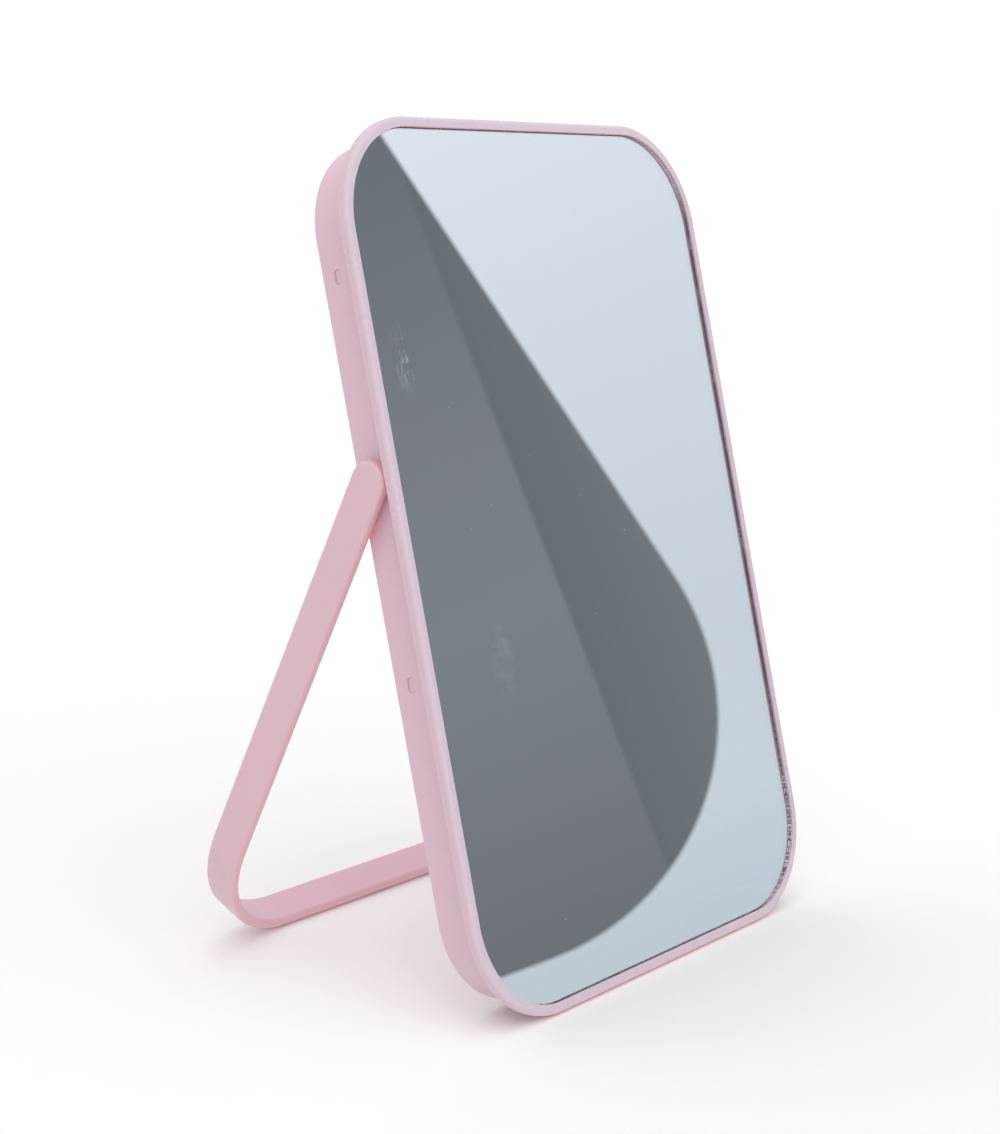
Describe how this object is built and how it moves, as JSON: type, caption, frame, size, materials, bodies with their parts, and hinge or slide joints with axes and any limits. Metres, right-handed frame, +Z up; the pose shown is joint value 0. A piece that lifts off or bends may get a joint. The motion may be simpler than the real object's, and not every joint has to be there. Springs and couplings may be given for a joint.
{
  "type": "folding table mirror",
  "caption": "Rounded rectangular mirror in a plastic frame, leaning on a U-shaped stand that folds flat behind it or swings over the top.",
  "frame": {"origin": "on the table under the middle of the object's bounding box", "axes": "+Z up, +X to the right seen from the front, the mirror faces -Y and leans back, the stand is on the +Y side"},
  "size_m": [0.1386, 0.1012, 0.2045],
  "materials": {
    "bezel_plastic": "satin",
    "shell_plastic": "satin",
    "stand_plastic": "satin",
    "silvered_glass": "polished",
    "zinc_steel": "zinc plated",
    "nylon": "natural",
    "foam": "closed cell foam"
  },
  "bodies": {
    "mirror": {"front_bezel": "bezel_plastic", "mirror_glass": "silvered_glass", "rear_shell": "shell_plastic", "friction_washer_left": "nylon", "friction_washer_right": "nylon", "foam_tape_lower_left": "foam", "foam_tape_lower_right": "foam", "foam_tape_upper_left": "foam", "foam_tape_upper_right": "foam"},
    "stand": {"u_stand": "stand_plastic", "wave_washer_left": "zinc_steel", "wave_washer_right": "zinc_steel", "flat_washer_left": "zinc_steel", "flat_washer_right": "zinc_steel", "pivot_screw_left": "zinc_steel", "pivot_screw_right": "zinc_steel"}
  },
  "joints": [
    {"name": "stand_hinge", "type": "hinge", "parent": "mirror", "child": "stand", "pos_m": [0, -0.01268, 0.12332], "axis": [1, 0, 0], "range_deg": [-39.6, 140.4]}
  ]
}
